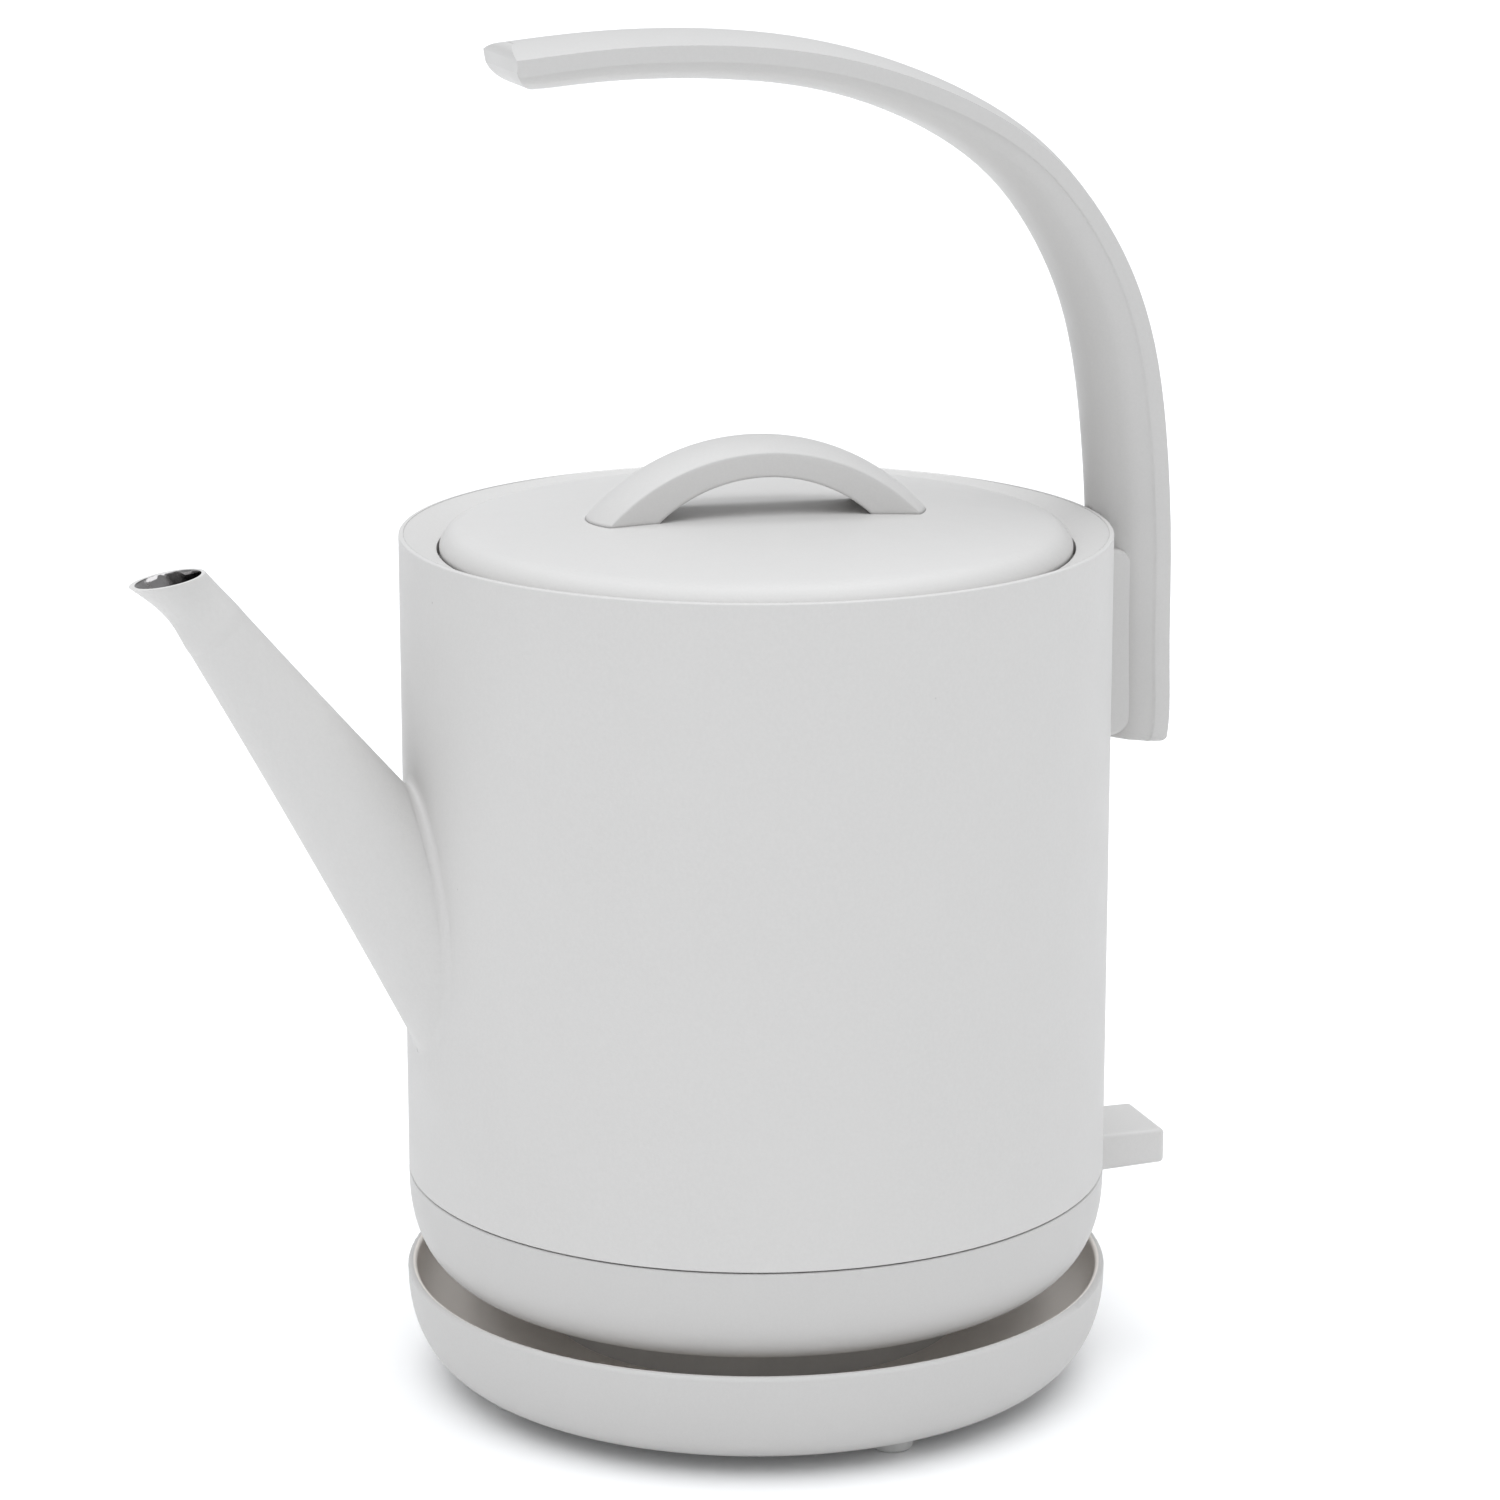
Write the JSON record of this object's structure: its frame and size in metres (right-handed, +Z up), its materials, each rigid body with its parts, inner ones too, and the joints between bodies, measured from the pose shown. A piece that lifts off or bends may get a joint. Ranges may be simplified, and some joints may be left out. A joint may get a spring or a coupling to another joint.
{
  "type": "electric kettle",
  "caption": "Cordless electric pouring kettle with a straight tapered spout, an open arched handle and a loose lid, on a dish-shaped power base.",
  "frame": {"origin": "on the table, under the middle of the outer box; the kettle's own round axis is parallel to Z at x = 0.0207 m, y = 0", "axes": "+Z up, +X towards the handle and the switch lever, -X towards the spout"},
  "size_m": [0.2248, 0.1512, 0.2899],
  "materials": {
    "painted_steel": "matte off-white powder coat with a very fine texture",
    "handle_plastic": "matte off-white moulded plastic",
    "white_plastic": "matte off-white moulded plastic",
    "lid_plastic": "matte, slightly warm off-white moulded plastic",
    "brushed_steel": "brushed stainless steel",
    "diffuser_aluminium": "plain rolled aluminium",
    "heater_sheath": "heat-tinted steel sheath",
    "contact_brass": "plain brass",
    "bimetal": "plain bimetal strip",
    "screw_steel": "zinc-plated steel",
    "dark_plastic": "black heat-resistant plastic",
    "base_plastic": "matte off-white moulded plastic",
    "seal_silicone": "translucent white silicone",
    "foot_rubber": "pale translucent rubber"
  },
  "bodies": {
    "base": {"base_tray": "white_plastic", "base_plate": "base_plastic", "base_screws": "screw_steel", "base_feet": "foot_rubber", "cord_gland": "base_plastic", "cord_clamp": "dark_plastic", "base_socket": "dark_plastic", "socket_contacts": "contact_brass"},
    "shutter": {"socket_shutter": "dark_plastic"},
    "kettle": {"body_shell": "painted_steel", "rim_collar": "painted_steel", "spout": "painted_steel", "handle": "handle_plastic", "handle_bracket": "handle_plastic", "handle_screws": "screw_steel", "screw_plugs": "handle_plastic", "lower_cover": "white_plastic", "cover_screws": "screw_steel", "heating_plate": "brushed_steel", "heat_diffuser": "diffuser_aluminium", "heating_element": "heater_sheath", "element_terminals": "contact_brass", "steam_tube": "brushed_steel", "control_body": "dark_plastic", "bimetal_disc": "bimetal", "kettle_connector": "dark_plastic", "connector_pins": "contact_brass", "lever_pin": "screw_steel", "rocker_pin": "screw_steel"},
    "lever": {"switch_lever": "white_plastic"},
    "rocker": {"trip_rocker": "dark_plastic"},
    "lid": {"lid_shell": "lid_plastic", "lid_inner_plate": "brushed_steel", "lid_seal": "seal_silicone", "lid_knob": "lid_plastic", "knob_screws": "screw_steel"}
  },
  "joints": [
    {"name": "kettle_turn", "type": "hinge", "parent": "base", "child": "shutter", "pos_m": [0.0207, 0, 0.0212], "axis": [0, 0, 1], "continuous": true},
    {"name": "kettle_lift", "type": "slide", "parent": "shutter", "child": "kettle", "axis": [0, 0, 1], "range_m": [0, 0.06]},
    {"name": "lid_lift", "type": "slide", "parent": "kettle", "child": "lid", "axis": [0, 0, 1], "range_m": [0, 0.04]},
    {"name": "switch_press", "type": "hinge", "parent": "kettle", "child": "lever", "pos_m": [0.0787, 0, 0.0424], "axis": [0, 1, 0], "range_deg": [0, 8]},
    {"name": "rocker_tilt", "type": "hinge", "parent": "kettle", "child": "rocker", "pos_m": [0.0587, 0, 0.0435], "axis": [0, 1, 0], "range_deg": [-9.5, 0]}
  ],
  "couplings": [
    {"joint": "rocker_tilt", "follows": "switch_press", "ratio": -1.15}
  ]
}
